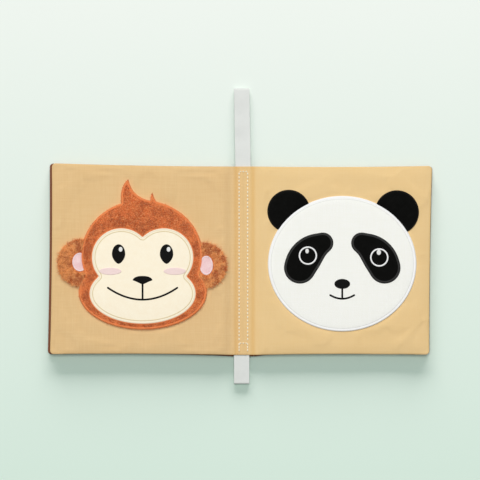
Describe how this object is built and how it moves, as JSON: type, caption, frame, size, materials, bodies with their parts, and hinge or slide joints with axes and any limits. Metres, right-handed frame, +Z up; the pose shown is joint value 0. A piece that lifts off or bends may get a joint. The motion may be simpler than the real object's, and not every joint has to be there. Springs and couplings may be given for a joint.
{
  "type": "crinkle cloth book",
  "caption": "Soft cloth book lying open at its middle pages, with padded crinkle leaves, a monkey and a panda with lifting ears, and ribbon loops at the spine.",
  "frame": {"origin": "on the table, under the middle of the whole open book's bounding box", "axes": "+X to the reader's right across the spread, +Y towards the top of the pages, +Z up out of the open pages"},
  "size_m": [0.3012, 0.2338, 0.012],
  "materials": {
    "ochre_cotton": "plain woven cotton, matt",
    "rust_cotton": "plain woven cotton, matt",
    "crinkle_film": "thin crinkled film",
    "wadding": "soft bonded fibre",
    "white_ribbon": "woven tape with a slight sheen",
    "white_thread": "twisted sewing thread",
    "russet_plush": "short pile plush with a satin stitched edge",
    "cream_felt": "smooth felt with a satin stitched edge",
    "white_cotton": "slub woven cotton with a satin stitched edge",
    "black_felt": "felt with a satin stitched edge",
    "black_thread": "satin stitched embroidery thread",
    "pink_thread": "satin stitched embroidery thread and plush"
  },
  "bodies": {
    "spine": {"page_sheet_spine": "ochre_cotton", "cover_sheet_spine": "rust_cotton", "spine_tape": "white_ribbon", "binding_thread": "white_thread"},
    "left_page": {"left_page_front_cloth": "ochre_cotton", "left_page_back_cloth": "ochre_cotton", "left_page_crinkle_film": "crinkle_film", "left_page_wadding": "wadding", "monkey_head": "russet_plush", "monkey_face": "cream_felt", "monkey_left_eye": "black_thread", "monkey_right_eye": "black_thread", "monkey_left_eye_glint": "white_thread", "monkey_right_eye_glint": "white_thread", "monkey_left_cheek": "pink_thread", "monkey_right_cheek": "pink_thread", "monkey_nose": "black_thread", "monkey_mouth": "black_thread"},
    "right_page": {"right_page_front_cloth": "ochre_cotton", "right_page_back_cloth": "ochre_cotton", "right_page_crinkle_film": "crinkle_film", "right_page_wadding": "wadding", "panda_face": "white_cotton", "panda_left_eye_patch": "black_felt", "panda_right_eye_patch": "black_felt", "panda_left_eye_ring": "white_thread", "panda_right_eye_ring": "white_thread", "panda_left_eye_glint": "white_thread", "panda_right_eye_glint": "white_thread", "panda_nose": "black_thread", "panda_mouth": "black_thread"},
    "left_cover": {"left_cover_inner_cloth": "rust_cotton", "left_cover_outer_cloth": "rust_cotton", "left_cover_crinkle_film": "crinkle_film", "left_cover_wadding": "wadding"},
    "right_cover": {"right_cover_inner_cloth": "rust_cotton", "right_cover_outer_cloth": "rust_cotton", "right_cover_crinkle_film": "crinkle_film", "right_cover_wadding": "wadding"},
    "monkey_left_flap": {"monkey_left_ear": "russet_plush", "monkey_left_ear_lining": "pink_thread"},
    "monkey_right_flap": {"monkey_right_ear": "russet_plush", "monkey_right_ear_lining": "pink_thread"},
    "panda_left_flap": {"panda_left_ear": "black_felt"},
    "panda_right_flap": {"panda_right_ear": "black_felt"},
    "top_loop": {"top_ribbon_loop": "white_ribbon"},
    "bottom_loop": {"bottom_ribbon_loop": "white_ribbon"}
  },
  "joints": [
    {"name": "left_page_turn", "type": "hinge", "parent": "spine", "child": "left_page", "pos_m": [-0.0062, -0.01885, 0.00535], "axis": [0, 1, 0], "range_deg": [0, 90]},
    {"name": "right_page_turn", "type": "hinge", "parent": "spine", "child": "right_page", "pos_m": [0.0113, -0.01885, 0.00535], "axis": [0, -1, 0], "range_deg": [0, 90]},
    {"name": "left_cover_turn", "type": "hinge", "parent": "left_page", "child": "left_cover", "pos_m": [-0.0062, -0.01885, 0.00255], "axis": [0, 1, 0], "range_deg": [-90, 0]},
    {"name": "right_cover_turn", "type": "hinge", "parent": "right_page", "child": "right_cover", "pos_m": [0.0113, -0.01885, 0.00255], "axis": [0, -1, 0], "range_deg": [-90, 0]},
    {"name": "monkey_left_ear_lift", "type": "hinge", "parent": "left_page", "child": "monkey_left_flap", "pos_m": [-0.12441, -0.02098, 0.0082], "axis": [0, -1, 0], "range_deg": [-90, 0]},
    {"name": "monkey_right_ear_lift", "type": "hinge", "parent": "left_page", "child": "monkey_right_flap", "pos_m": [-0.03096, -0.0231, 0.0082], "axis": [0, 1, 0], "range_deg": [-90, 0]},
    {"name": "panda_left_ear_lift", "type": "hinge", "parent": "right_page", "child": "panda_left_flap", "pos_m": [0.0407, 0.01708, 0.0082], "axis": [-0.7006, -0.7135, 0], "range_deg": [-90, 0]},
    {"name": "panda_right_ear_lift", "type": "hinge", "parent": "right_page", "child": "panda_right_flap", "pos_m": [0.12072, 0.01625, 0.0082], "axis": [-0.6845, 0.729, 0], "range_deg": [-90, 0]},
    {"name": "top_loop_bend", "type": "hinge", "parent": "spine", "child": "top_loop", "pos_m": [0.00205, 0.0567, 0.00395], "axis": [1, 0, 0], "range_deg": [0, 90]},
    {"name": "bottom_loop_bend", "type": "hinge", "parent": "spine", "child": "bottom_loop", "pos_m": [0.00095, -0.0944, 0.00395], "axis": [-1, 0, 0], "range_deg": [0, 90]}
  ]
}
